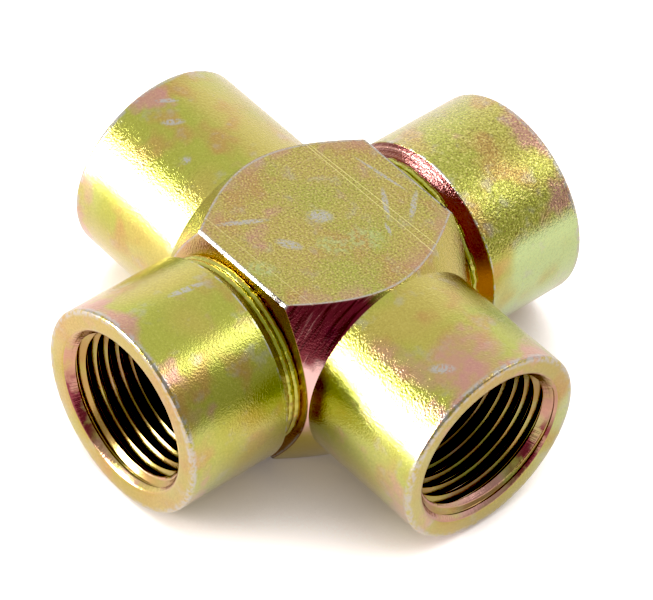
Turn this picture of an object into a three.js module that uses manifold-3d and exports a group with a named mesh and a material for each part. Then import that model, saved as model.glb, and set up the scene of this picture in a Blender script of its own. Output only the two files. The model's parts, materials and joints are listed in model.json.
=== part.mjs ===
// A four-way female cross fitting in plated steel, in millimetres.
// The run is one length of square bar, turned round at both ends and bored through.
// Two turned branch sockets plug into its sides and are held there by weld beads.
// Frame: the bore axes cross at the origin, the run lies along X, the branches along Y, Z is up.

import * as THREE from "three";
import { mergeVertices } from "three/addons/utils/BufferGeometryUtils.js";
import Module from "manifold-3d";

// Driving dimensions
const PORT_REACH = 24.6; // bore crossing to every port face
const BAR_FLATS = 21; // across the flats of the square bar
const BAR_EDGE = 0.35; // bevel along the bar's four long edges
const RUN_DIAMETER = 20.8; // turned run ends, just under the flats
const SHOULDER_SUM = 21; // x + radius on the 45 degree shoulder cones
const SOCKET_DIAMETER = 21.3; // branch sockets
const SOCKET_BACK = 13.1; // where a socket's outside ends, from the centre
const RIM_ROUND = 0.35; // rounded outer edge of every port

// G 3/8 pipe thread: the solids carry its crest diameter as a plain bore
const THREAD_CREST = 14.95;
const MOUTH_DIAMETER = 17.1; // countersink at the port face
const MOUTH_DEPTH = 1.45;
const THREAD_FLOOR = 12.2; // where the tapping drill's full diameter ends, from the centre
const DRILL_POINT = 59; // half the drill's point angle, in degrees
const FLOW_BORE = 11.5; // passage that joins the four ports

// Spigot joint between a branch socket and the bar
const SPIGOT_DIAMETER = 15;
const SPIGOT_END = 7;
const JOINT_GAP = 0.2; // clearance that the filler metal closes on the real piece
const LAND_RADIUS = 8.1; // flat ring left inside the socket's back chamfer
const BEAD_TOE = 9.5; // bead radius where it meets the bar
const BEAD_HEIGHT = 1.1; // how far the bead climbs the chamfer
const BEAD_BULGE = 0.25; // how far its rounded face stands out

const TURNED_STEPS = 56; // facets around every turned surface
const ROUND_STEPS = 3; // facets across a rounded edge

const barHalf = BAR_FLATS / 2;
const runRadius = RUN_DIAMETER / 2;
const socketRadius = SOCKET_DIAMETER / 2;
const crestRadius = THREAD_CREST / 2;
const mouthRadius = MOUTH_DIAMETER / 2;
const flowRadius = FLOW_BORE / 2;
const spigotRadius = SPIGOT_DIAMETER / 2;
const seatFace = barHalf + JOINT_GAP;

const wasm = await Module();
wasm.setup();

// Solids and meshes

function toSolid(geometry) {
  const bare = geometry.index ? geometry.toNonIndexed() : geometry.clone();
  bare.deleteAttribute("normal");
  bare.deleteAttribute("uv");
  const merged = mergeVertices(bare, 1e-4);
  return new wasm.Manifold(
    new wasm.Mesh({
      numProp: 3,
      vertProperties: new Float32Array(merged.attributes.position.array),
      triVerts: new Uint32Array(merged.index.array),
    }),
  );
}

function toGeometry(solid) {
  const mesh = solid.getMesh();
  const geometry = new THREE.BufferGeometry();
  geometry.setAttribute("position", new THREE.BufferAttribute(mesh.vertProperties, 3));
  geometry.setIndex(new THREE.BufferAttribute(mesh.triVerts, 1));
  geometry.computeVertexNormals();
  return geometry;
}

// Profiles are lists of [radius, distance along the axis], turned about +Y.
function turned(profile) {
  const points = profile.map(([radius, along]) => new THREE.Vector2(radius, along));
  return new THREE.LatheGeometry(points, TURNED_STEPS);
}

function alongX(geometry) {
  return geometry.clone().rotateZ(-Math.PI / 2);
}

function mirrored(profile) {
  return profile.map(([radius, along]) => [radius, -along]).reverse();
}

// The rounded outer edge of a port, from the outside towards the face.
function rimProfile(radius) {
  const profile = [];
  for (let step = 0; step <= ROUND_STEPS; step += 1) {
    const angle = (step / ROUND_STEPS) * (Math.PI / 2);
    profile.push([
      radius - RIM_ROUND * (1 - Math.cos(angle)),
      PORT_REACH - RIM_ROUND * (1 - Math.sin(angle)),
    ]);
  }
  return profile;
}

// The inside of a port from the flow passage out to the face.
function portProfile() {
  const pointLength = (crestRadius - flowRadius) / Math.tan(THREE.MathUtils.degToRad(DRILL_POINT));
  return [
    [flowRadius, THREAD_FLOOR - pointLength],
    [crestRadius, THREAD_FLOOR],
    [crestRadius, PORT_REACH - MOUTH_DEPTH],
    [mouthRadius, PORT_REACH],
  ];
}

// Run body: square bar, turned at both ends

function barStock() {
  const shape = new THREE.Shape();
  const flat = barHalf - BAR_EDGE;
  shape.moveTo(-flat, -barHalf);
  shape.lineTo(flat, -barHalf);
  shape.lineTo(barHalf, -flat);
  shape.lineTo(barHalf, flat);
  shape.lineTo(flat, barHalf);
  shape.lineTo(-flat, barHalf);
  shape.lineTo(-barHalf, flat);
  shape.lineTo(-barHalf, -flat);
  shape.closePath();
  const length = 2 * PORT_REACH + 2;
  const prism = new THREE.ExtrudeGeometry(shape, { depth: length, bevelEnabled: false });
  return prism.translate(0, 0, -length / 2).rotateY(Math.PI / 2);
}

function runTurning() {
  const corner = barHalf * Math.SQRT2 + 1;
  const half = [[corner, SHOULDER_SUM - corner], [runRadius, SHOULDER_SUM - runRadius], ...rimProfile(runRadius)];
  const end = [[0, PORT_REACH]];
  return turned([...mirrored(end), ...mirrored(half), ...half, ...end]);
}

function throughBore(portEnds) {
  return turned([[0, portEnds.at(0)[1]], ...portEnds, [0, portEnds.at(-1)[1]]]);
}

function runBore() {
  const widening = (mouthRadius - crestRadius) / MOUTH_DEPTH;
  const pastFace = [mouthRadius + widening, PORT_REACH + 1];
  const half = [...portProfile().slice(0, -1), pastFace];
  return throughBore([...mirrored(half), ...half]);
}

function branchBore() {
  const seatRadius = spigotRadius + JOINT_GAP;
  const half = [
    [flowRadius, SPIGOT_END - JOINT_GAP],
    [seatRadius, SPIGOT_END - JOINT_GAP],
    [seatRadius, barHalf + 1],
  ];
  return throughBore([...mirrored(half), ...half]);
}

function runBody() {
  const turnedBar = toSolid(alongX(runTurning())).intersect(toSolid(barStock()));
  return turnedBar.subtract(toSolid(alongX(runBore()))).subtract(toSolid(branchBore()));
}

// Branch socket: turned, with a spigot and a chamfered back

function branchSocket() {
  const inside = portProfile().reverse();
  return turned([
    [flowRadius, SPIGOT_END],
    [spigotRadius, SPIGOT_END],
    [spigotRadius, seatFace],
    [LAND_RADIUS, seatFace],
    [socketRadius, SOCKET_BACK],
    ...rimProfile(socketRadius),
    ...inside,
    [flowRadius, SPIGOT_END],
  ]);
}

// Weld bead: a ring in the groove between the bar and the socket's back chamfer

function weldBead() {
  const slope = (socketRadius - LAND_RADIUS) / (SOCKET_BACK - seatFace);
  const clear = JOINT_GAP * Math.hypot(1, slope);
  const top = [LAND_RADIUS + clear + slope * BEAD_HEIGHT, seatFace + BEAD_HEIGHT];
  const root = [LAND_RADIUS + clear, seatFace];
  const toe = [BEAD_TOE, seatFace];
  const profile = [root, toe];
  const steps = 2 * ROUND_STEPS;
  for (let step = 1; step < steps; step += 1) {
    const part = step / steps;
    const lift = BEAD_BULGE * Math.sin(part * Math.PI);
    profile.push([
      toe[0] + (top[0] - toe[0]) * part + lift,
      toe[1] + (top[1] - toe[1]) * part + lift * 0.3,
    ]);
  }
  return turned([...profile, top, root]);
}

// Assembly

function plated(color, roughness) {
  return new THREE.MeshStandardMaterial({ color, roughness, metalness: 1 });
}

function piece(name, geometry, material) {
  const mesh = new THREE.Mesh(geometry, material);
  mesh.name = name;
  return mesh;
}

const cross = new THREE.Group();
cross.add(piece("run_body", toGeometry(runBody()), plated(0xb5a23c, 0.32)));

for (const [side, turn] of [["rear", 0], ["front", Math.PI]]) {
  const branch = new THREE.Group();
  branch.rotation.z = turn;
  branch.add(piece(`branch_socket_${side}`, branchSocket(), plated(0xbcae48, 0.3)));
  branch.add(piece(`weld_bead_${side}`, weldBead(), plated(0x9a8534, 0.38)));
  cross.add(branch);
}

export default cross;
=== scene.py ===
"""A plated steel cross fitting: finished pieces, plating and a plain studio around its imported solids."""

import json
import math

import bmesh
import bpy
from bpy.props import FloatProperty, FloatVectorProperty, PointerProperty
from mathutils import Matrix, Vector, noise

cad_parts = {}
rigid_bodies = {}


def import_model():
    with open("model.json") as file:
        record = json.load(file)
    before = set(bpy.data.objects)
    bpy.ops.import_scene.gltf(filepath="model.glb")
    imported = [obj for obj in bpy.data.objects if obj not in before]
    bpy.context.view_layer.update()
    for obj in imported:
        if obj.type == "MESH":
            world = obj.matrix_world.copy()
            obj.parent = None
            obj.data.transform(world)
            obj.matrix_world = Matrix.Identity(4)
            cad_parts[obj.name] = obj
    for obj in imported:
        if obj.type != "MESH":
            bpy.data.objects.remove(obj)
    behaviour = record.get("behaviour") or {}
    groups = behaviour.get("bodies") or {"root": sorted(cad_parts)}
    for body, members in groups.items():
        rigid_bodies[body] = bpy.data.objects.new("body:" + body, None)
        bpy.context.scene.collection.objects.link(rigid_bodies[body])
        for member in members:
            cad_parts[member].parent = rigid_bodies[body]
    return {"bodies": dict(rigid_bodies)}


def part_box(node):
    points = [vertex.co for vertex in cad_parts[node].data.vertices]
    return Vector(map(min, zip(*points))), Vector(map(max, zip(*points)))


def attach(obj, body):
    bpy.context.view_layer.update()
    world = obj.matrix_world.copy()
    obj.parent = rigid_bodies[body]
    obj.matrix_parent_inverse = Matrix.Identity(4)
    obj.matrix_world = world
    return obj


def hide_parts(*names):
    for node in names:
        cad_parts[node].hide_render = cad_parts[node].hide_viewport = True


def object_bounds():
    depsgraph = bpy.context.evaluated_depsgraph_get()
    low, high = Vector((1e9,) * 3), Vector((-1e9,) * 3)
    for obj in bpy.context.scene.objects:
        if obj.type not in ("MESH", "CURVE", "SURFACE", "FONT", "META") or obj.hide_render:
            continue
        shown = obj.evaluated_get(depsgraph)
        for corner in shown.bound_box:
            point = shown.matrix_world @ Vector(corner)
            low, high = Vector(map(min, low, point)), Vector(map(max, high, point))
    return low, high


bl_info = {
    "name": "Cross fitting",
    "version": (1, 0, 0),
    "blender": (4, 5, 0),
    "location": "3D View > Sidebar > Cross fitting",
    "description": "Builds the threaded run body, branch sockets and weld beads of a pipe cross",
    "category": "Object",
}

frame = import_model()
CAD_LOW, CAD_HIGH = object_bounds()
BODY = next(iter(frame["bodies"]))

MM = 0.001
MICRON = 0.001 * MM
X_AXIS = Vector((1, 0, 0))
Y_AXIS = Vector((0, 1, 0))
Z_AXIS = Vector((0, 0, 1))

# What the solids say
PORT_REACH = CAD_HIGH.x
BAR_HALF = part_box("run_body")[1].z
SOCKET_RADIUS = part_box("branch_socket_rear")[1].z
SPIGOT_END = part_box("branch_socket_rear")[0].y
SEAT_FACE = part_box("weld_bead_rear")[0].y

# How finely things are turned
TURNED_STEPS = 256
BEAD_STEPS = 360
THREAD_STEPS = 160
RIM_STEPS = 6

# Tapping: turns swept, pitches swept below the floor, pitches of runout, and the drill's half angle
THREAD_TURNS = 12
THREAD_LEAD_IN = 1.6
THREAD_RUNOUT = 1.3
DRILL_HALF_ANGLE = math.radians(59)
WHITWORTH_FLANK = math.radians(27.5)
WHITWORTH_NOSE = 0.1373

OVERCUT = 1 * MM
MOUTH_TOOL_DEPTH = 1.9 * MM

# Each run of weld metal: radius and reach of its middle and its size in mm, first and last angle in degrees
BEAD_RUNS = ((9.35, 10.95, 0.42, -40, 75), (9.25, 11.62, 0.46, -30, 95))


# Sizes and colours that a user would change


def length(name, description, value):
    return FloatProperty(name=name, description=description, default=value, unit="LENGTH", precision=5)


def srgb(hex_code):
    """Turns an sRGB hex colour into linear red, green and blue."""
    parts = [int(hex_code[i : i + 2], 16) / 255 for i in (0, 2, 4)]
    return tuple(c / 12.92 if c <= 0.04045 else ((c + 0.055) / 1.055) ** 2.4 for c in parts)


def colour(name, description, hex_code):
    return FloatVectorProperty(
        name=name, description=description, default=srgb(hex_code), subtype="COLOR", size=3, min=0, max=1
    )


class CrossSizes(bpy.types.PropertyGroup):
    run_diameter: length("Run diameter", "Outside of the turned run ends", 20.8 * MM)
    shoulder_sum: length("Shoulder", "Distance along the run plus radius on its shoulder cones", 21.0 * MM)
    bar_edge: length("Bar edge", "Chamfer on the bar's long edges", 0.21 * MM)
    rim_round: length("Rim rounding", "Rounded outer edge of every port", 0.35 * MM)
    pitch: length("Thread pitch", "Pitch of the G 3/8 thread", 1.337 * MM)
    crest_diameter: length("Thread crest", "Crest diameter of the internal thread", 14.95 * MM)
    root_diameter: length("Thread root", "Root diameter of the internal thread", 16.662 * MM)
    mouth_diameter: length("Countersink", "Countersink diameter at the port face", 17.1 * MM)
    mouth_depth: length("Countersink depth", "Depth of the countersink at the crest diameter", 1.45 * MM)
    mouth_round: length("Countersink edge", "Rounding where the countersink meets the port face", 0.4 * MM)
    thread_floor: length("Thread floor", "Distance from the centre to the drill's shoulder", 12.2 * MM)
    flow_diameter: length("Flow bore", "Diameter of the passage that joins the ports", 11.5 * MM)
    spigot_diameter: length("Spigot", "Diameter of the socket's spigot", 15.0 * MM)
    land_radius: length("Land", "Flat ring inside the socket's back chamfer", 8.1 * MM)
    socket_back: length("Socket back", "Distance from the centre to the back edge of a socket", 13.1 * MM)
    joint_gap: length("Joint gap", "Clearance around the spigot", 0.2 * MM)


class CrossFinish(bpy.types.PropertyGroup):
    gold: colour("Gold", "Main tint of the plating", "C3B35A")
    olive: colour("Olive", "Greener tint of the plating", "B4B64E")
    brown: colour("Brown", "Warmer tint of the plating", "C4985A")
    rose: colour("Rose", "Rosy interference tint", "D09490")
    blush: colour("Blush", "Palest rose, low on the shoulder cones", "F2C4C0")
    # mint is also painted low on the arms as a reflection of the pale floor
    mint: colour("Mint", "Pale blue-green interference tint", "C6DC9C")
    # wine is also painted shade on the front socket's back chamfer and towards +x on each chamfer
    wine: colour("Wine", "Deep red tint in the recesses", "802E40")
    amber: colour("Amber", "Orange tint in the recesses", "C4701E")
    spark: colour("Spark", "Bright grains of the plate", "F4E68E")
    shade: colour("Shade", "Dull grains of the plate", "86703E")
    worn: colour("Worn", "Bare zinc where the colour has rubbed off", "C2BEB8")
    # soot is also painted shade: deep in the bores, high on the front shoulder cone and in breaks along the
    # bar's bevels
    soot_and_shade: colour("Soot", "Unplated steel deep in the threads", "281A20")
    roughness: FloatProperty(
        name="Roughness", description="Gloss of the plating", default=0.19, min=0, max=1, subtype="FACTOR"
    )


class CrossStage(bpy.types.PropertyGroup):
    azimuth: FloatProperty(
        name="Azimuth", description="Camera direction", default=math.radians(45.58), subtype="ANGLE"
    )
    elevation: FloatProperty(
        name="Elevation", description="Camera height angle", default=math.radians(45.35), subtype="ANGLE"
    )
    roll: FloatProperty(name="Roll", description="Camera tilt", default=math.radians(5.09), subtype="ANGLE")
    distance: length("Distance", "From the camera to the fitting", 0.4172)
    lens: FloatProperty(name="Lens", description="Focal length", default=239.1, min=1, unit="CAMERA")
    key: FloatProperty(
        name="Side softbox", description="Radiance of the long softbox", default=22.0, min=0
    )
    fill: FloatProperty(
        name="High softbox", description="Radiance of the small high softbox", default=2.6, min=0
    )


# Mesh helpers


def turn(profile, axis, steps=TURNED_STEPS):
    """Turns [radius, along] points about an axis through the origin into a closed surface."""
    bm = bmesh.new()
    verts = [bm.verts.new(axis * along + Z_AXIS * radius) for radius, along in profile]
    edges = [bm.edges.new(pair) for pair in zip(verts, verts[1:])]
    if profile[0][0] > 0:
        edges.append(bm.edges.new((verts[-1], verts[0])))
    bmesh.ops.spin(
        bm, geom=verts + edges, cent=(0, 0, 0), axis=axis, angle=2 * math.pi, steps=steps, use_merge=True
    )
    bmesh.ops.remove_doubles(bm, verts=bm.verts, dist=1e-7)
    bmesh.ops.dissolve_degenerate(bm, edges=bm.edges, dist=1e-7)
    bmesh.ops.recalc_face_normals(bm, faces=bm.faces)
    return bm


def thread_outline(sizes):
    """One pitch of a Whitworth-form thread, as [radius, along] points on the metal's surface."""
    pitch = sizes.pitch
    crest = sizes.crest_diameter / 2
    nose = WHITWORTH_NOSE * pitch
    nose_centre = sizes.root_diameter / 2 - nose
    half = []
    for step in range(4):
        angle = (math.pi / 2 - WHITWORTH_FLANK) * step / 3
        half.append([nose_centre + nose * math.cos(angle), nose * math.sin(angle)])
    end_radius, end_along = half[-1]
    foot = end_along + (end_radius - crest) * math.tan(WHITWORTH_FLANK)
    half += [[crest + 0.05 * MM, foot - 0.02 * MM], [crest, foot + 0.03 * MM], [crest, pitch / 2]]
    return [*mirrored(half[1:]), *half]


def thread_sweep(sizes, axis, start):
    """The thread's outline swept as a helix, cut off at the thread's floor and outside the port."""
    radial = Z_AXIS * math.cos(start) + axis.cross(Z_AXIS) * math.sin(start)
    first = sizes.thread_floor - THREAD_LEAD_IN * sizes.pitch
    outline = thread_outline(sizes)
    bm = bmesh.new()
    verts = []
    for turn_number in range(THREAD_TURNS):
        for radius, along in outline[:-1]:
            place = first + turn_number * sizes.pitch + along
            verts.append(bm.verts.new(axis * place + radial * radius))
    edges = [bm.edges.new(pair) for pair in zip(verts, verts[1:])]
    bmesh.ops.spin(
        bm,
        geom=verts + edges,
        cent=(0, 0, 0),
        axis=axis,
        dvec=axis * sizes.pitch / THREAD_STEPS,
        angle=2 * math.pi,
        steps=THREAD_STEPS,
    )
    bmesh.ops.remove_doubles(bm, verts=bm.verts, dist=2e-6)
    for place, side in ((sizes.thread_floor, -1), (PORT_REACH + 0.6 * MM, 1)):
        whole = [*bm.verts, *bm.edges, *bm.faces]
        bmesh.ops.bisect_plane(
            bm, geom=whole, dist=1e-9, plane_co=axis * place, plane_no=axis * side, clear_outer=True
        )
    return bm


def port_tool(sizes, axis, start):
    """The tapped hole of one port as a solid: drill point, thread with a runout, and a plain end."""
    crest = sizes.crest_diameter / 2
    floor = sizes.thread_floor
    bm = thread_sweep(sizes, axis, start)
    for vert in bm.verts:
        along = vert.co.dot(axis)
        out = vert.co - axis * along
        fade = min(1.0, max(0.0, (along - floor) / (THREAD_RUNOUT * sizes.pitch)))
        vert.co = axis * along + out.normalized() * (crest + (out.length - crest) * fade)
    low = [e for e in bm.edges if e.is_boundary and e.verts[0].co.dot(axis) < floor + 1e-6]
    moved = bmesh.ops.extrude_edge_only(bm, edges=low)["geom"]
    inner = 0.9 * sizes.flow_diameter / 2
    drop = (crest - inner) / math.tan(DRILL_HALF_ANGLE)
    for vert in (v for v in moved if isinstance(v, bmesh.types.BMVert)):
        along = vert.co.dot(axis)
        vert.co = axis * (along - drop) + (vert.co - axis * along) * (inner / crest)
    bmesh.ops.holes_fill(bm, edges=[e for e in bm.edges if e.is_boundary], sides=0)
    bmesh.ops.recalc_face_normals(bm, faces=bm.faces)
    return to_object(bm, "tapped hole")


def to_object(bm, name):
    mesh = bpy.data.meshes.new(name)
    bm.to_mesh(mesh)
    bm.free()
    obj = bpy.data.objects.new(name, mesh)
    bpy.context.scene.collection.objects.link(obj)
    return obj


def combine(target, tool, operation):
    """Cuts or intersects one object with another, and removes the tool."""
    modifier = target.modifiers.new(operation.lower(), "BOOLEAN")
    modifier.operation = operation
    modifier.solver = "EXACT"
    modifier.object = tool
    apply_modifiers(target)
    bpy.data.objects.remove(tool)


def apply_modifiers(obj):
    mesh = bpy.data.meshes.new_from_object(obj.evaluated_get(bpy.context.evaluated_depsgraph_get()))
    mesh.name = obj.data.name
    obj.modifiers.clear()
    obj.data = mesh


def smooth_shade(obj, sharp=math.radians(32)):
    """Shades smoothly except over sharp edges, with the large faces keeping their true direction."""
    bm = bmesh.new()
    bm.from_mesh(obj.data)
    bmesh.ops.remove_doubles(bm, verts=bm.verts, dist=1e-6)
    for face in bm.faces:
        face.smooth = True
    for edge in bm.edges:
        edge.smooth = edge.calc_face_angle(0) < sharp
    bm.to_mesh(obj.data)
    bm.free()
    weighted = obj.modifiers.new("weighted normals", "WEIGHTED_NORMAL")
    weighted.keep_sharp = True
    weighted.weight = 80


def finish_piece(obj, material, node):
    obj.data.materials.clear()
    obj.data.materials.append(material)
    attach(obj, BODY)
    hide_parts(node)


# Profiles, as [radius, along] points


def mirrored(profile):
    return [[radius, -along] for radius, along in reversed(profile)]


def rim(radius, rounding):
    """The rounded outer edge of a port, from the outside towards the face."""
    points = []
    for step in range(RIM_STEPS + 1):
        angle = step / RIM_STEPS * math.pi / 2
        inward = rounding * (1 - math.cos(angle))
        points.append([radius - inward, PORT_REACH - rounding * (1 - math.sin(angle))])
    return points


def ridged(start, end, spacing, depth):
    """A straight run of profile with shallow turning rings between its two ends."""
    a, b = Vector(start), Vector(end)
    along = b - a
    normal = Vector((along.y, -along.x)).normalized()
    count = max(2, round(along.length / spacing))
    points = [list(start)]
    for ring in range(count):
        uneven = 0.55 + 0.45 * noise.noise(Vector((ring * 1.7, along.length / MM, 0.3)))
        for part, height in ((0.35, 0.0), (0.75, 1.0)):
            place = a + along * (ring + part) / count - normal * depth * uneven * height
            points.append([place.x, place.y])
    points.append(list(end))
    return points


def mouth_tool(sizes, axis):
    """The countersink, with its turning rings and a softened lip."""
    crest = sizes.crest_diameter / 2
    slope = (sizes.mouth_diameter / 2 - crest) / sizes.mouth_depth
    inner = sizes.mouth_diameter / 2 - slope * MOUTH_TOOL_DEPTH
    floor = PORT_REACH - MOUTH_TOOL_DEPTH
    soft = sizes.mouth_round
    edge = [sizes.mouth_diameter / 2 - slope * soft, PORT_REACH - soft]
    rings = ridged([inner, floor], edge, 0.17 * MM, 0.012 * MM)
    lip = []
    for share in (0.3, 0.6, 0.85, 1.0):
        outward = slope * soft * share + (0.8 * soft) * share**2
        lip.append([edge[0] + outward, edge[1] + soft * (1 - (1 - share) ** 1.6)])
    above = PORT_REACH + OVERCUT
    profile = [[0, floor], *rings, *lip, [lip[-1][0], above], [0, above]]
    return to_object(turn(profile, axis), "countersink")


def cut_port(obj, sizes, axis, start):
    combine(obj, port_tool(sizes, axis, start), "DIFFERENCE")
    combine(obj, mouth_tool(sizes, axis), "DIFFERENCE")


# Run body


def bar_stock(sizes):
    bm = bmesh.new()
    bmesh.ops.create_cube(bm, size=2)
    bmesh.ops.scale(bm, vec=(PORT_REACH + OVERCUT, BAR_HALF, BAR_HALF), verts=bm.verts)
    long_edges = [e for e in bm.edges if abs((e.verts[0].co - e.verts[1].co).x) > BAR_HALF]
    bmesh.ops.bevel(
        bm,
        geom=long_edges,
        offset=sizes.bar_edge,
        offset_type="OFFSET",
        affect="EDGES",
        segments=1,
        profile=0.5,
        material=-1,
    )
    return to_object(bm, "bar stock")


def run_blank(sizes):
    """The square bar after its two ends have been turned round."""
    radius = sizes.run_diameter / 2
    corner = BAR_HALF * 1.5
    shoulder = sizes.shoulder_sum - radius
    neck = 0.25 * MM
    fillet = [[radius + neck, shoulder - neck], [radius + 0.07 * neck, shoulder + 0.1 * neck]]
    half = [[corner, sizes.shoulder_sum - corner], *fillet, [radius, shoulder + neck]]
    half += rim(radius, sizes.rim_round)
    end = [[0, PORT_REACH]]
    turned = turn([*mirrored(end), *mirrored(half), *half, *end], X_AXIS)
    blank = to_object(turned, "run_body_plated")
    combine(blank, bar_stock(sizes), "INTERSECT")
    return blank


def round_hub_edges(obj, sizes):
    """Takes the burr off the edges where the shoulder cones meet the bar's flats."""
    bm = bmesh.new()
    bm.from_mesh(obj.data)
    bmesh.ops.remove_doubles(bm, verts=bm.verts, dist=1e-7)
    shoulder = sizes.shoulder_sum - sizes.run_diameter / 2
    hub = [
        e
        for e in bm.edges
        if e.calc_face_angle(0) > math.radians(30) and max(abs(v.co.x) for v in e.verts) < shoulder - 0.4 * MM
    ]
    bmesh.ops.bevel(
        bm,
        geom=hub,
        offset=0.1 * MM,
        offset_type="OFFSET",
        affect="EDGES",
        segments=2,
        profile=0.5,
        clamp_overlap=True,
        material=-1,
    )
    bm.to_mesh(obj.data)
    bm.free()


def bore_run(obj, sizes):
    flow = sizes.flow_diameter / 2
    end = PORT_REACH + OVERCUT
    tool = turn([[0, -end], [flow, -end], [flow, end], [0, end]], X_AXIS)
    combine(obj, to_object(tool, "run bore"), "DIFFERENCE")


def bore_branches(obj, sizes):
    flow = sizes.flow_diameter / 2
    seat = sizes.spigot_diameter / 2 + sizes.joint_gap
    floor = SPIGOT_END - sizes.joint_gap
    half = [[flow, floor], [seat, floor], [seat, BAR_HALF + OVERCUT]]
    end = [[0, BAR_HALF + OVERCUT]]
    tool = turn([*mirrored(end), *mirrored(half), *half, *end], Y_AXIS)
    combine(obj, to_object(tool, "branch bore"), "DIFFERENCE")


def make_run_body(sizes):
    body = run_blank(sizes)
    round_hub_edges(body, sizes)
    bore_run(body, sizes)
    bore_branches(body, sizes)
    cut_port(body, sizes, X_AXIS, math.radians(40))
    cut_port(body, sizes, -X_AXIS, math.radians(160))
    smooth_shade(body)
    return body


# Branch sockets


def make_socket(sizes, side, axis, start):
    spigot = sizes.spigot_diameter / 2
    chamfer = ridged(
        [sizes.land_radius, SEAT_FACE], [SOCKET_RADIUS, sizes.socket_back], 0.19 * MM, 0.014 * MM
    )
    profile = [
        [sizes.flow_diameter / 2, SPIGOT_END],
        [spigot, SPIGOT_END],
        [spigot, SEAT_FACE],
        *chamfer,
        *rim(SOCKET_RADIUS, sizes.rim_round),
        [sizes.flow_diameter / 2, PORT_REACH],
    ]
    socket = to_object(turn(profile, axis), f"branch_socket_{side}_plated")
    cut_port(socket, sizes, axis, start)
    smooth_shade(socket)
    return socket


# Weld beads


def bead_profile(sizes):
    """Two overlapping runs of weld metal between the bar and the socket's chamfer."""
    slope = (SOCKET_RADIUS - sizes.land_radius) / (sizes.socket_back - SEAT_FACE)
    top = [sizes.land_radius + slope * 1.35 * MM, SEAT_FACE + 1.35 * MM]
    points = [[sizes.land_radius + 0.1 * MM, BAR_HALF], [9.55 * MM, BAR_HALF]]
    for middle, reach, size, first, last in BEAD_RUNS:
        for step in range(7):
            angle = math.radians(first + (last - first) * step / 6)
            points.append([(middle + size * math.cos(angle)) * MM, (reach + size * math.sin(angle)) * MM])
    points.append(top)
    return points


def make_bead(sizes, side, axis):
    """One bead, swollen and pitted where it isn't against the socket."""
    bm = turn(bead_profile(sizes), axis, BEAD_STEPS)
    seed = Vector((0, 0, 3.1 if side == "rear" else 7.7))
    for vert in bm.verts:
        along = vert.co.dot(axis)
        radial = vert.co - axis * along
        around = radial.normalized()
        if radial.length < 9.2 * MM:
            continue
        swell = noise.noise(around * 3.0 + seed) * 0.10 + noise.noise(around * 11.0 + seed) * 0.07
        fine = noise.noise(around * 34.0 + seed + axis * along / (0.5 * MM)) * 0.035
        hollow = max(0.0, noise.noise(around * 16.0 - seed + axis * along / (0.4 * MM)) - 0.42) * 0.55
        move = (swell + fine - hollow) * MM
        vert.co += around * move + axis * swell * 0.4 * MM * (1 if along > BAR_HALF + 0.3 * MM else 0)
    bmesh.ops.recalc_face_normals(bm, faces=bm.faces)
    if bm.calc_volume(signed=True) < 0:
        bmesh.ops.reverse_faces(bm, faces=bm.faces)
    bead = to_object(bm, f"weld_bead_{side}_plated")
    smooth_shade(bead, math.radians(60))
    return bead


# Plating

# Node settings that recur
SMOOTH = {"interpolation_type": "SMOOTHSTEP"}
TINT = {"data_type": "RGBA"}
PLUS = {"operation": "ADD"}
MINUS = {"operation": "SUBTRACT"}
TIMES = {"operation": "MULTIPLY"}
LARGER = {"operation": "MAXIMUM"}
UNSIGNED = {"operation": "ABSOLUTE"}

# Scratches along the run on the top flat: offset across in mm, slope, and brightness of the painted highlight
# on the lip
TOP_SCRATCHES = ((5.4, 0.005, 0.8), (5.97, 0.0385, 0.8), (-8.5, 0.038, 0.4))

# Rubbed marks: place in mm, turn about Z in degrees, length and width in mm
BODY_MARKS = (
    ((-0.8, 0.0, 10.5), 45, (3.2, 2.2)),
    ((0.3, -4.8, 10.5), 32, (3.4, 1.4)),
    ((-4.6, -6.4, 10.5), 61, (6.4, 0.8)),
    ((1.6, 6.1, 10.5), -33, (5.2, 0.75)),
    ((3.4, 8.1, 10.5), -49, (5.0, 0.8)),
    ((4.4, 4.0, 10.5), -22, (2.2, 0.5)),
    ((-1.7, 8.4, 10.5), 8, (8.2, 0.45)),
    ((-19.6, -2.6, 10.1), 48, (2.9, 1.0)),
    ((-22.1, -1.3, 10.3), 50, (3.0, 0.7)),
    ((-15.2, -4.5, 9.4), 45, (1.2, 1.0)),
    ((20.6, -3.6, 9.8), 40, (3.2, 1.3)),
)
SOCKET_MARKS = (((-0.9, -16.4, 10.6), 80, (5.0, 1.0)), ((-6.4, -19.6, 8.4), 75, (3.2, 1.0)))

# Pale green blooms on the top flat: place, length and width in mm
MINT_BLOOMS = (((2.9, -1.5, 10.5), (4.6, 3.0)), ((1.2, -9.0, 10.5), (4.0, 2.4)), ((4.0, 1.5, 10.5), (5, 4)))

# Rosy patches on the front run end: place, length and width in mm, and strength
ROSY_PATCHES = (((21.2, -1.5, 10.0), (8.0, 10.5), 0.7), ((17.5, -5.4, 8.9), (13.0, 3.6), 0.5))


def add(tree, kind, links=(), output=0, **settings):
    """Adds a shader node with its settings and links, and returns one of its outputs. Links are for the
    inputs in order, or under their names or numbers, and each is an output to link or a plain value."""
    node = tree.nodes.new("ShaderNode" + kind)
    for name, value in settings.items():
        setattr(node, name, value)
    for name, value in links.items() if isinstance(links, dict) else enumerate(links):
        socket = node.inputs[name]
        if isinstance(value, bpy.types.NodeSocket):
            tree.links.new(value, socket)
        elif socket.type == "RGBA":
            socket.default_value = (*value, 1)
        else:
            socket.default_value = value
    return node.outputs[output] if node.outputs else None


def overlap(tree, *masks):
    """The product of masks and plain strengths: 1 only where every one is."""
    product = masks[0]
    for mask in masks[1:]:
        product = add(tree, "Math", (product, mask), **TIMES)
    return product


def tinted(tree, film, colour_over, *masks):
    """The film with a colour laid over it, as strongly as the masks and strengths say together."""
    return add(tree, "Mix", {0: overlap(tree, *masks), 6: film, 7: colour_over}, 2, **TINT)


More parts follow.
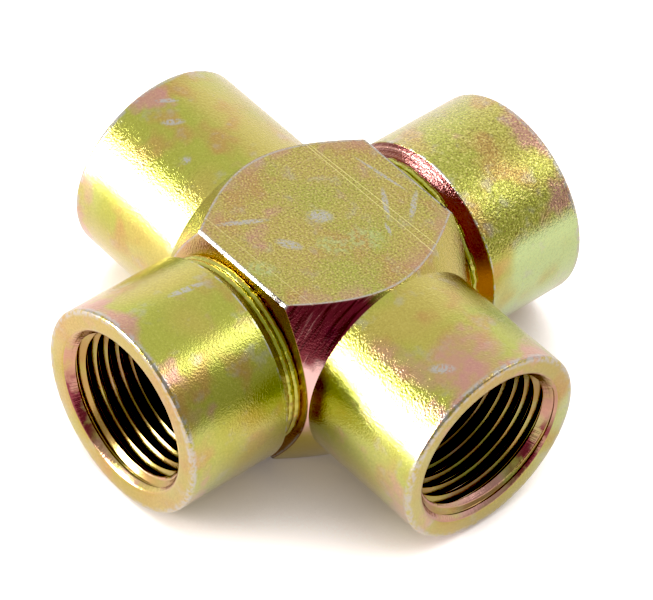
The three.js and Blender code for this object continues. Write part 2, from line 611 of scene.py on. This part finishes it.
def near(tree, value, target, solid, soft):
    """1 within a distance of the target value, falling to 0 over a further soft distance."""
    away = add(tree, "Math", (add(tree, "Math", (value, target), **MINUS),), **UNSIGNED)
    return add(tree, "MapRange", (away, solid + soft, solid), **SMOOTH)


def grains(place, size, detail=2.0, rough=0.5):
    """The inputs of a noise whose features are about the given size in metres."""
    return {"Vector": place, "Scale": 1 / size, "Detail": detail, "Roughness": rough}


def patches(tree, place, size, low, high, to_low=0.0, to_high=1.0, detail=2.0, rough=0.5):
    """Patches about the given size in metres, whose noise goes from low..high to to_low..to_high."""
    value = add(tree, "TexNoise", grains(place, size, detail, rough))
    return add(tree, "MapRange", (value, low, high, to_low, to_high), **SMOOTH)


class Surface:
    """Object coordinates of a piece turned about one axis, in metres."""

    def __init__(self, tree, axis):
        self.place = add(tree, "TexCoord", output="Object")
        self.x, self.y, self.z = add(tree, "SeparateXYZ", (self.place,)).node.outputs
        along, across = (self.x, self.y) if axis == X_AXIS else (self.y, self.x)
        squares = [add(tree, "Math", (value, value), **TIMES) for value in (across, self.z)]
        self.radius = add(tree, "Math", (add(tree, "Math", squares, **PLUS),), operation="SQRT")
        self.reach = add(tree, "Math", (along,), **UNSIGNED)
        self.around = add(tree, "Math", (across, self.z), operation="ARCTAN2")


def mark(tree, surface, where, angle, size, streaks=True):
    """A rubbed mark at a place in mm, as long and wide as its size, turned about Z by an angle in degrees."""
    placing = {
        "Vector": surface.place,
        "Location": Vector(where) * MM,
        "Rotation": (0, 0, math.radians(angle)),
        "Scale": (size[0] / 2 * MM, size[1] / 2 * MM, 1.5 * MM),
    }
    local = add(tree, "Mapping", placing, vector_type="TEXTURE")
    away = add(tree, "VectorMath", (local,), "Value", operation="LENGTH")
    mask = add(tree, "MapRange", (away, 1.0, 0.45), **SMOOTH)
    if streaks:
        mask = overlap(tree, mask, patches(tree, surface.place, 0.3 * MM, 0.38, 0.54, detail=3, rough=0.65))
    return mask


def chromate(tree, surface, finish, speckled):
    """The film's drift of tint: patches over millimetres, rose towards the ports, mint underneath that is
    partly a painted reflection of the pale floor, and bright and dull grains as fine as the plate's crystals,
    as strong as speckled says."""
    place = surface.place
    slow = patches(tree, place, 10 * MM, 0.4, 0.58, detail=1.0, rough=0.4)
    film = tinted(tree, finish.gold, finish.olive, slow)
    film = tinted(tree, film, finish.brown, patches(tree, place, 4.3 * MM, 0.5, 0.7, 0, 0.75))

    # browner and less rosy on the port faces, and rosier along the last millimetres before them
    face = add(tree, "MapRange", (surface.reach, PORT_REACH - 0.3 * MM, PORT_REACH - 0.1 * MM), **SMOOTH)
    film = tinted(tree, film, finish.brown, face, 0.45)
    outward = add(tree, "MapRange", (surface.reach, 19.5 * MM, 24.0 * MM, -0.06, 0.1), **SMOOTH)
    outward = add(tree, "Math", (outward, overlap(tree, face, 0.13)), **MINUS)
    rosy = add(tree, "TexNoise", grains(place, 5.5 * MM, 3.0, 0.55))
    rosy = add(tree, "Math", (rosy, outward), **PLUS)
    film = tinted(tree, film, finish.rose, add(tree, "MapRange", (rosy, 0.54, 0.68, 0, 0.8), **SMOOTH))

    # mint on the lower half, most of all at the rear: partly the film's tint and partly a painted reflection
    # of the pale floor
    under = add(tree, "MapRange", (surface.z, 6.0 * MM, 4.4 * MM), **SMOOTH)
    far = add(tree, "MapRange", (surface.y, 2 * MM, 15 * MM, 0.2, 0.95), **SMOOTH)
    film = tinted(tree, film, finish.mint, under, far, patches(tree, place, 6 * MM, 0.36, 0.6, detail=1.5))

    # the crystals are under 0.05 mm, and are drawn 0.21 mm wide so that they show
    speck = add(tree, "TexNoise", grains(place, 0.21 * MM, 2.0, 0.6))
    bright = add(tree, "MapRange", (speck, 0.52, 0.68), **SMOOTH)
    film = tinted(tree, film, finish.spark, speckled, bright)
    dark = add(tree, "MapRange", (speck, 0.48, 0.32), **SMOOTH)
    film = tinted(tree, film, finish.shade, speckled, dark)
    dull = patches(tree, place, 2.2 * MM, 0.56, 0.72, 0, 0.3, detail=3.0, rough=0.6)
    return tinted(tree, film, finish.worn, dull)


def port_masks(tree, surface, sizes):
    """Masks for all that lies inside a port, for its bore and for its countersink."""
    edge = sizes.mouth_diameter / 2
    slope = (edge - sizes.crest_diameter / 2) / sizes.mouth_depth
    inside = add(tree, "MapRange", (surface.radius, edge + 0.07 * MM, edge + 0.01 * MM), **SMOOTH)
    cone = add(tree, "Math", (surface.reach, slope, edge - PORT_REACH * slope), operation="MULTIPLY_ADD")
    on_cone = near(tree, surface.radius, cone, 0.05 * MM, 0.08 * MM)
    bore = overlap(tree, inside, add(tree, "Math", (1.0, on_cone), **MINUS))
    return inside, bore, overlap(tree, inside, on_cone)


def tint_port(tree, surface, film, finish, bore, mouth):
    """Thread crests keep their colour, while roots and the deeper bore are painted dark as shade. The
    countersink is rosy, with wine stains low on its outer side."""
    place = surface.place
    # painted shade: thread roots past the first turn go dark, and the whole bore darkens with depth
    root = add(tree, "MapRange", (surface.radius, 7.72 * MM, 8.15 * MM), **SMOOTH)
    below = add(tree, "MapRange", (surface.reach, 23.4 * MM, 22.2 * MM), **SMOOTH)
    depth = add(tree, "MapRange", (surface.reach, 22.6 * MM, 14.0 * MM, 0.25, 0.9), **SMOOTH)
    dark = add(tree, "Math", (overlap(tree, root, below, 0.95), depth), **LARGER)
    film = tinted(tree, film, finish.brown, bore, patches(tree, place, 2.5 * MM, 0.35, 0.6, 0.2, 0.8))
    film = tinted(tree, film, finish.soot_and_shade, bore, dark, 0.92)
    film = tinted(tree, film, finish.rose, mouth, patches(tree, place, 3.5 * MM, 0.4, 0.6, 0.1, 0.7))
    side = add(tree, "Math", (add(tree, "Math", (surface.x, surface.y), **PLUS),), **UNSIGNED)
    outer = add(tree, "MapRange", (side, 26 * MM, 29.5 * MM), **SMOOTH)
    low = add(tree, "MapRange", (surface.z, -0.5 * MM, -3.0 * MM), **SMOOTH)
    blots = patches(tree, place, 1.6 * MM, 0.4, 0.55, 0.3, 0.95, detail=3)
    return tinted(tree, film, finish.wine, mouth, outer, low, blots)


def plate_relief(tree, surface, rear, inside, turned_deep, mouth, pebbled):
    """Heights in metres: pebbles of the plate and its finer grain, lathe marks round the axis, and
    chatter in the countersinks. Pebbled is how much coarser the top is than the sides."""
    place = surface.place
    plain = 22 * MICRON
    upper = add(tree, "MapRange", (surface.z, 5.5 * MM, 7.6 * MM, plain, plain * pebbled), **SMOOTH)
    height = add(tree, "Math", (overlap(tree, rear, 44 * MICRON), upper), **PLUS)
    height = overlap(tree, height, add(tree, "Math", (1.0, overlap(tree, inside, 0.7)), **MINUS))
    pebbles = overlap(tree, add(tree, "TexNoise", grains(place, 0.22 * MM, 2.0, 0.6)), height)
    fine = overlap(tree, add(tree, "TexNoise", grains(place, 0.11 * MM, 1)), 2.2 * MICRON)
    rings = add(tree, "CombineXYZ", {"X": surface.reach, "Y": surface.radius})
    lathe = add(tree, "TexNoise", grains(rings, 0.13 * MM, 1.0))
    lathe = overlap(tree, lathe, add(tree, "Math", (1.0, overlap(tree, turned_deep, 8.0)), **PLUS))
    # chatter repeats round the axis, about every 0.035 radians
    angle = add(tree, "CombineXYZ", {"X": surface.around})
    chatter = overlap(tree, mouth, add(tree, "TexNoise", grains(angle, 0.035)), 60 * MICRON)
    relief = add(tree, "Math", (pebbles, fine), **PLUS)
    relief = add(tree, "Math", (relief, overlap(tree, lathe, 1.6 * MICRON)), **PLUS)
    return add(tree, "Math", (relief, chatter), **PLUS)


def behind_socket(tree, surface, sizes):
    """A mask for a socket's back chamfer and what lies behind it."""
    cut = add(tree, "Math", (surface.radius, surface.reach), **MINUS)
    line = sizes.land_radius - SEAT_FACE
    return add(tree, "MapRange", (cut, line - 0.3 * MM, line - 0.1 * MM), **SMOOTH)


def plated(name, scene, paint, axis, outside, pebbled=1.0, scratches=()):
    """Zinc plate with yellow chromate: a glassy film over bright metal. Its tint drifts, deepens in the
    recesses, partly as painted shade, and rubs off on the edges, and its pebbled grain breaks up the
    highlights."""
    finish = scene.cross_finish
    sizes = scene.cross_sizes
    material = bpy.data.materials.new(name)
    material.use_nodes = True
    tree = material.node_tree
    tree.nodes.clear()
    surface = Surface(tree, axis)

    # the bar's top and bottom flats, and the upper side of the rear branch, have the coarsest grain
    hub = sizes.shoulder_sum - sizes.run_diameter / 2
    level = add(tree, "Math", (surface.z,), **UNSIGNED)
    on_hub = add(tree, "MapRange", (surface.reach, hub + 0.1 * MM, hub - 0.1 * MM), **SMOOTH)
    flat = overlap(tree, near(tree, level, BAR_HALF, 0.02 * MM, 0.03 * MM), on_hub)
    behind = add(tree, "MapRange", (surface.y, 9 * MM, 13 * MM), **SMOOTH)
    above = add(tree, "MapRange", (surface.z, 4.2 * MM, 5.4 * MM), **SMOOTH)
    rear = overlap(tree, behind, above)
    coarse = add(tree, "Math", (overlap(tree, flat, 0.6), overlap(tree, rear, 0.6)), **PLUS)
    speckled = add(tree, "Math", (0.16, coarse), **PLUS)
    film = chromate(tree, surface, finish, speckled)
    film, bare = paint(tree, surface, film, finish, sizes)
    inside, bore, mouth = port_masks(tree, surface, sizes)
    film = tint_port(tree, surface, film, finish, bore, mouth)

    # worn rims
    ragged = patches(tree, surface.place, 0.7 * MM, 0.38, 0.58, detail=4, rough=0.7)
    rim_line = outside + PORT_REACH
    corner = add(tree, "Math", (surface.radius, surface.reach), **PLUS)
    corner = add(tree, "MapRange", (corner, rim_line - 0.75 * MM, rim_line - 0.3 * MM), **SMOOTH)
    bare = add(tree, "Math", (bare, overlap(tree, corner, ragged)), **LARGER)
    film = tinted(tree, film, finish.worn, bare, 0.85)

    # relief, with a furrow for each scratch and a painted highlight on its lip
    turned_deep = mouth
    if axis == Y_AXIS:
        turned_deep = add(tree, "Math", (mouth, behind_socket(tree, surface, sizes)), **LARGER)
    relief = plate_relief(tree, surface, rear, inside, turned_deep, mouth, pebbled)
    for offset, slope, glint_strength in scratches:
        line = add(tree, "Math", (surface.y, overlap(tree, surface.x, slope)), **MINUS)
        furrow = overlap(tree, flat, near(tree, line, offset * MM, 0.03 * MM, 0.09 * MM), 0.03 * MM)
        relief = add(tree, "Math", (relief, furrow), **MINUS)
        # painted highlight along the scratch's lip
        painted_lip_glint = near(tree, line, (offset - 0.04) * MM, 0.01 * MM, 0.05 * MM)
        film = tinted(tree, film, finish.spark, flat, painted_lip_glint, glint_strength)
    bump = add(tree, "Bump", {"Height": relief, "Strength": 1.0, "Distance": 1.0})

    glossier = finish.roughness - 0.015
    duller = finish.roughness + 0.03
    gloss = patches(tree, surface.place, 1.3 * MM, 0.3, 0.7, glossier, duller, detail=3)
    gloss = add(tree, "Math", (gloss, overlap(tree, rear, 0.1)), **MINUS)
    shading = {
        "Base Color": film,
        "Metallic": 1.0,
        "Roughness": gloss,
        "Normal": bump,
        "Coat Weight": 0.6,
        "Coat Roughness": 0.13,
        "Coat Normal": bump,
    }
    add(tree, "OutputMaterial", (add(tree, "BsdfPrincipled", shading),))
    return material


def tint_front_cones(tree, surface, film, finish, sizes, inward):
    """High on the front shoulder cone, painted shade, soot-dark with wine streaks and some rose; below it
    blush going to gold.
    """
    hub = sizes.shoulder_sum - sizes.run_diameter / 2
    on_hub = add(tree, "MapRange", (surface.reach, hub + 0.15 * MM, hub), **SMOOTH)
    cone = overlap(tree, near(tree, inward, 0.0, 0.06 * MM, 0.05 * MM), on_hub)
    ahead = add(tree, "MapRange", (surface.y, -1.0 * MM, -4.0 * MM), **SMOOTH)
    aside = add(tree, "MapRange", (surface.x, -3 * MM, 3 * MM), **SMOOTH)
    wander = add(tree, "TexNoise", grains(surface.place, 0.8 * MM, 3))
    ragged = add(tree, "Math", (wander, 2 * MM, surface.z), operation="MULTIPLY_ADD")
    foot = add(tree, "MapRange", (ragged, -0.5 * MM, -3.5 * MM), **SMOOTH)
    low = tinted(tree, finish.blush, finish.gold, foot)
    # streaks follow the tool's path, so they are long round the axis and short across it
    path = {
        "X": overlap(tree, surface.reach, 5.0),
        "Y": overlap(tree, surface.around, 4.5 * MM),
        "Z": overlap(tree, surface.radius, 5.0),
    }
    streak = add(tree, "TexNoise", grains(add(tree, "CombineXYZ", path), 1.6 * MM, 3.0))
    wine = add(tree, "MapRange", (streak, 0.36, 0.52, 0.25, 1.0), **SMOOTH)
    rose = add(tree, "MapRange", (streak, 0.6, 0.72, 0, 0.7), **SMOOTH)
    deep = tinted(tree, tinted(tree, finish.soot_and_shade, finish.wine, wine), finish.rose, rose)
    # painted shade: soot-dark and wine above about 6 mm of height on the front cone
    shade = tinted(tree, low, deep, add(tree, "MapRange", (ragged, 5.6 * MM, 7.0 * MM), **SMOOTH))
    return tinted(tree, film, shade, cone, overlap(tree, ahead, aside), 0.97)


def paint_body(tree, surface, film, finish, sizes):
    """Wine and rose on the front shoulder cones, brown on the side flats, and the top flat's wear."""
    place = surface.place
    hub = sizes.shoulder_sum - sizes.run_diameter / 2
    summed = add(tree, "Math", (surface.reach, surface.radius), **PLUS)
    inward = add(tree, "Math", (sizes.shoulder_sum, summed), **MINUS)
    film = tint_front_cones(tree, surface, film, finish, sizes, inward)

    # side flats
    aside = add(tree, "Math", (surface.y,), **UNSIGNED)
    on_hub = add(tree, "MapRange", (surface.reach, hub, hub - 0.1 * MM), **SMOOTH)
    low = add(tree, "MapRange", (surface.z, -1 * MM, -4 * MM), **SMOOTH)
    # the side flats go from brown to wine towards the bottom
    brown_to_wine_lower = tinted(tree, finish.brown, finish.wine, low)
    film = tinted(tree, film, brown_to_wine_lower, near(tree, aside, BAR_HALF, 0.02 * MM, 0.05 * MM), on_hub, 0.7)

    # top flat: a rosy edge, rosy specks and mint blooms
    level = add(tree, "Math", (surface.z,), **UNSIGNED)
    within = add(tree, "MapRange", (inward, -0.05 * MM, 0.0), **SMOOTH)
    flat = overlap(tree, near(tree, level, BAR_HALF, 0.02 * MM, 0.03 * MM), within)
    edge = add(tree, "MapRange", (inward, 3.0 * MM, 0.3 * MM), **SMOOTH)
    broken = patches(tree, place, 2.4 * MM, 0.4, 0.62, detail=3)
    film = tinted(tree, film, finish.rose, flat, edge, broken, 0.45)
    specks = patches(tree, place, 0.17 * MM, 0.5, 0.36, 0, 0.25, detail=1.0)
    film = tinted(tree, film, finish.rose, flat, specks)
    for where, size in MINT_BLOOMS:
        bloom = mark(tree, surface, where, 40, size, streaks=False)
        mottled = patches(tree, place, 0.5 * MM, 0.4, 0.6, detail=3)
        film = tinted(tree, film, finish.mint, bloom, mottled, 0.45)
    film = tinted(tree, film, finish.shade, flat, 0.1)
    for where, size, strength in ROSY_PATCHES:
        patch = mark(tree, surface, where, 10, size, streaks=False)
        broken = patches(tree, place, 1.6 * MM, 0.35, 0.6, 0.5, 1.0, detail=3)
        film = tinted(tree, film, finish.rose, patch, broken, strength)

    # rubbed edges: a chipped line round the flats, and the bar's long bevels, with dark breaks painted as
    # shade in their highlight
    outer = add(tree, "MapRange", (inward, 0.38 * MM, 0.1 * MM), **SMOOTH)
    inner = add(tree, "MapRange", (inward, 0.04 * MM, 0.08 * MM), **SMOOTH)
    bare = overlap(tree, outer, inner, patches(tree, place, 0.5 * MM, 0.34, 0.5, detail=4, rough=0.7))
    bevel = add(tree, "Math", (aside, level), **PLUS)
    bevel = add(tree, "MapRange", (bevel, 2 * BAR_HALF - 0.4 * MM, 2 * BAR_HALF - 0.3 * MM), **SMOOTH)
    bare = add(tree, "Math", (bare, overlap(tree, bevel, on_hub)), **LARGER)
    forward = add(tree, "MapRange", (surface.x, -2 * MM, 6 * MM, 0.25, 1.0), **SMOOTH)
    gaps = patches(tree, place, 0.7 * MM, 0.45, 0.54, detail=3, rough=0.7)
    # painted shade: dark breaks in the bevels' highlight, more towards +x
    painted_shade_breaks = overlap(tree, bevel, gaps, forward)
    film = tinted(tree, film, finish.soot_and_shade, painted_shade_breaks)
    bare = add(tree, "Math", (bare, painted_shade_breaks), **MINUS)
    bare = add(tree, "Math", (bare, 0.0), **LARGER)
    for where, angle, size in BODY_MARKS:
        bare = add(tree, "Math", (bare, mark(tree, surface, where, angle, size)), **LARGER)
    return film, bare


def paint_socket(tree, surface, film, finish, sizes):
    """Rose, wine and amber round the back chamfer. Wine towards +x is partly painted shade, and the front
    socket's chamfer is painted wine-dark as shade.
    """
    back = sizes.socket_back
    ahead = add(tree, "MapRange", (surface.reach, back + 0.02 * MM, back - 0.1 * MM), **SMOOTH)
    chamfer = overlap(tree, ahead, behind_socket(tree, surface, sizes))
    rings = add(tree, "TexNoise", grains(add(tree, "CombineXYZ", {"X": surface.radius}), 0.22 * MM))
    # partly the film's tint and partly painted shade: wine towards +x cuts the chamfer's highlight short
    wine_tint_and_shade = add(tree, "MapRange", (surface.x, 1.0 * MM, 4.5 * MM), **SMOOTH)
    deep = tinted(tree, finish.rose, finish.wine, wine_tint_and_shade)
    deep = tinted(tree, deep, finish.wine, add(tree, "MapRange", (rings, 0.42, 0.54), **SMOOTH))
    # amber and gold lower down; the last row is painted shade, wine over the whole front chamfer
    for tint_over, position, start, end in (
        (finish.amber, surface.z, 5.2, 3.2),
        (finish.gold, surface.z, 1.2, -0.5),
        (finish.wine, surface.y, 1, -1),
    ):
        mask = add(tree, "MapRange", (position, start * MM, end * MM), **SMOOTH)
        deep = tinted(tree, deep, tint_over, mask)
    film = tinted(tree, film, deep, chamfer, 0.92)
    edge = near(tree, surface.reach, back + 0.05 * MM, 0.05 * MM, 0.12 * MM)
    bare = overlap(tree, edge, patches(tree, surface.place, 0.9 * MM, 0.45, 0.6, detail=4))
    for where, angle, size in SOCKET_MARKS:
        bare = add(tree, "Math", (bare, mark(tree, surface, where, angle, size)), **LARGER)
    return film, bare


def paint_bead(tree, surface, film, finish, sizes):
    """Weld metal takes a greener, glossier film with brown in its pits, and none of it is rubbed bare."""
    film = tinted(tree, film, finish.olive, 0.6)
    pits = patches(tree, surface.place, 0.6 * MM, 0.42, 0.3, detail=3)
    return tinted(tree, film, finish.brown, pits, 0.7), 0.0


# Stage

SOFTBOX_DISTANCE = 0.4
AIM = Vector((0.53, 0.49, -0.04)) * MM
BLACK_LEVEL = (0.02, 0.02, 0.02)
WHITE_LEVEL = (0.88, 0.88, 0.88)


def heading(azimuth, elevation):
    """A unit vector towards a direction in degrees."""
    a, e = math.radians(azimuth), math.radians(elevation)
    return Vector((math.cos(a) * math.cos(e), math.sin(a) * math.cos(e), math.sin(e)))


def white_floor():
    """Matt white table paper that glows where nothing is near it: its soft contact shadow is painted from
    ambient occlusion, and its painted glow, seen in reflections too, gives a pale reflection below the arms.
    """
    material = bpy.data.materials.new("matt white paper")
    material.use_nodes = True
    tree = material.node_tree
    tree.nodes.clear()
    open_sky = add(tree, "AmbientOcclusion", {"Distance": 18 * MM}, "AO", samples=8)
    seen = add(tree, "LightPath", output="Is Camera Ray")
    # painted light: the floor glows for the camera where it is open, and more dimly for all rays, so the
    # shadow near the fitting is painted
    clear = add(tree, "MapRange", (open_sky, 0.42, 0.82, 0.0, 0.7), **SMOOTH)
    glow_in_reflections = add(tree, "MapRange", (open_sky, 0.1, 0.7, 0.08, 0.36), **SMOOTH)
    painted_floor_glow = add(tree, "Math", (overlap(tree, clear, seen), glow_in_reflections), **PLUS)
    shading = {
        "Base Color": (0.75, 0.66, 0.62),
        "Roughness": 0.9,
        "Emission Color": (1, 0.96, 0.94),
        "Emission Strength": painted_floor_glow,
    }
    add(tree, "OutputMaterial", (add(tree, "BsdfPrincipled", shading),))
    bm = bmesh.new()
    bmesh.ops.create_grid(bm, x_segments=1, y_segments=1, size=0.9)
    bmesh.ops.translate(bm, vec=(0, 0, CAD_LOW.z), verts=bm.verts)
    floor = to_object(bm, "table_paper")
    floor.data.materials.append(material)


def soft_world():
    """An even studio: bright sweep behind, dimmer room on the camera's side."""
    world = bpy.data.worlds.new("studio")
    world.use_nodes = True
    tree = world.node_tree
    tree.nodes.clear()
    direction = add(tree, "TexCoord", output="Generated")
    facing = add(tree, "VectorMath", (direction, heading(140, 0)), "Value", operation="DOT_PRODUCT")
    room = add(tree, "MapRange", (facing, -0.35, 0.2, 0.38, 0.78), **SMOOTH)
    sweep = add(tree, "MapRange", (facing, 0.72, 0.93, 0.0, 0.3), **SMOOTH)
    level = add(tree, "Math", (room, sweep), **PLUS)
    grey = add(tree, "CombineColor", (level, level, level))
    add(tree, "OutputWorld", (add(tree, "Background", {"Color": grey}),))
    bpy.context.scene.world = world


def softbox(name, towards, width, height, radiance):
    data = bpy.data.lights.new(name, "AREA")
    data.shape = "RECTANGLE"
    data.size = width
    data.size_y = height
    data.energy = radiance * math.pi * width * height
    light = bpy.data.objects.new(name, data)
    turned = towards.to_track_quat("Z", "Y").to_matrix().to_4x4()
    light.matrix_world = Matrix.Translation(towards * SOFTBOX_DISTANCE) @ turned
    bpy.context.scene.collection.objects.link(light)


def camera(stage):
    back = heading(math.degrees(stage.azimuth) - 90, math.degrees(stage.elevation))
    level = Vector((math.cos(stage.azimuth), math.sin(stage.azimuth), 0))
    right = Matrix.Rotation(stage.roll, 3, back) @ level
    up = back.cross(right)
    data = bpy.data.cameras.new("camera")
    data.lens = stage.lens
    data.clip_start = 0.01
    obj = bpy.data.objects.new("camera", data)
    rotation = Matrix((right, up, back)).transposed().to_4x4()
    obj.matrix_world = Matrix.Translation(AIM + back * stage.distance) @ rotation
    bpy.context.scene.collection.objects.link(obj)
    bpy.context.scene.camera = obj


# Operators


class CROSS_OT_run_body(bpy.types.Operator):
    """Build the square-bar run body with its turned, threaded ends"""

    bl_idname = "cross.run_body"
    bl_label = "Run body"

    def execute(self, context):
        scene = context.scene
        sizes = scene.cross_sizes
        name = "yellow zinc plate on turned bar"
        radius = sizes.run_diameter / 2
        plate = plated(name, scene, paint_body, X_AXIS, radius, pebbled=2.3, scratches=TOP_SCRATCHES)
        finish_piece(make_run_body(sizes), plate, "run_body")
        return {"FINISHED"}


class CROSS_OT_branch_sockets(bpy.types.Operator):
    """Build the two turned, threaded branch sockets"""

    bl_idname = "cross.branch_sockets"
    bl_label = "Branch sockets"

    def execute(self, context):
        scene = context.scene
        name = "yellow zinc plate on turned socket"
        plate = plated(name, scene, paint_socket, Y_AXIS, SOCKET_RADIUS)
        for side, axis, start in (("rear", Y_AXIS, 0.6), ("front", -Y_AXIS, 2.2)):
            socket = make_socket(scene.cross_sizes, side, axis, start)
            finish_piece(socket, plate, f"branch_socket_{side}")
        return {"FINISHED"}


class CROSS_OT_weld_beads(bpy.types.Operator):
    """Build the weld beads between the sockets and the bar"""

    bl_idname = "cross.weld_beads"
    bl_label = "Weld beads"

    def execute(self, context):
        scene = context.scene
        name = "yellow zinc plate on weld metal"
        plate = plated(name, scene, paint_bead, Y_AXIS, SOCKET_RADIUS)
        for side, axis in (("rear", Y_AXIS), ("front", -Y_AXIS)):
            bead = make_bead(scene.cross_sizes, side, axis)
            finish_piece(bead, plate, f"weld_bead_{side}")
        return {"FINISHED"}


class CROSS_OT_stage(bpy.types.Operator):
    """Set up the floor, the soft lights and the camera"""

    bl_idname = "cross.stage"
    bl_label = "Studio"

    def execute(self, context):
        stage = context.scene.cross_stage
        view = context.scene.view_settings
        view.view_transform = "Standard"
        view.use_curve_mapping = True
        view.curve_mapping.black_level = BLACK_LEVEL
        view.curve_mapping.white_level = WHITE_LEVEL
        view.curve_mapping.update()
        white_floor()
        soft_world()
        softbox("side softbox", heading(-121, 14.5), 0.15, 0.205, stage.key)
        softbox("high softbox", heading(52, 49.5), 0.11, 0.12, stage.fill)
        camera(stage)
        return {"FINISHED"}


class CROSS_PT_panel(bpy.types.Panel):
    bl_label = "Cross fitting"
    bl_idname = "CROSS_PT_panel"
    bl_space_type = "VIEW_3D"
    bl_region_type = "UI"
    bl_category = "Cross fitting"

    def draw(self, context):
        for operator in OPERATORS:
            self.layout.operator(operator.bl_idname)
        for group in (context.scene.cross_sizes, context.scene.cross_finish, context.scene.cross_stage):
            for name in group.__annotations__:
                self.layout.prop(group, name)


OPERATORS = (CROSS_OT_run_body, CROSS_OT_branch_sockets, CROSS_OT_weld_beads, CROSS_OT_stage)
CLASSES = (CrossSizes, CrossFinish, CrossStage, *OPERATORS, CROSS_PT_panel)


def register():
    for cls in CLASSES:
        bpy.utils.register_class(cls)
    bpy.types.Scene.cross_sizes = PointerProperty(type=CrossSizes)
    bpy.types.Scene.cross_finish = PointerProperty(type=CrossFinish)
    bpy.types.Scene.cross_stage = PointerProperty(type=CrossStage)


def unregister():
    del bpy.types.Scene.cross_stage
    del bpy.types.Scene.cross_finish
    del bpy.types.Scene.cross_sizes
    for cls in reversed(CLASSES):
        bpy.utils.unregister_class(cls)


def main():
    register()
    bpy.ops.cross.stage()
    bpy.ops.cross.run_body()
    bpy.ops.cross.branch_sockets()
    bpy.ops.cross.weld_beads()


if __name__ == "__main__":
    main()
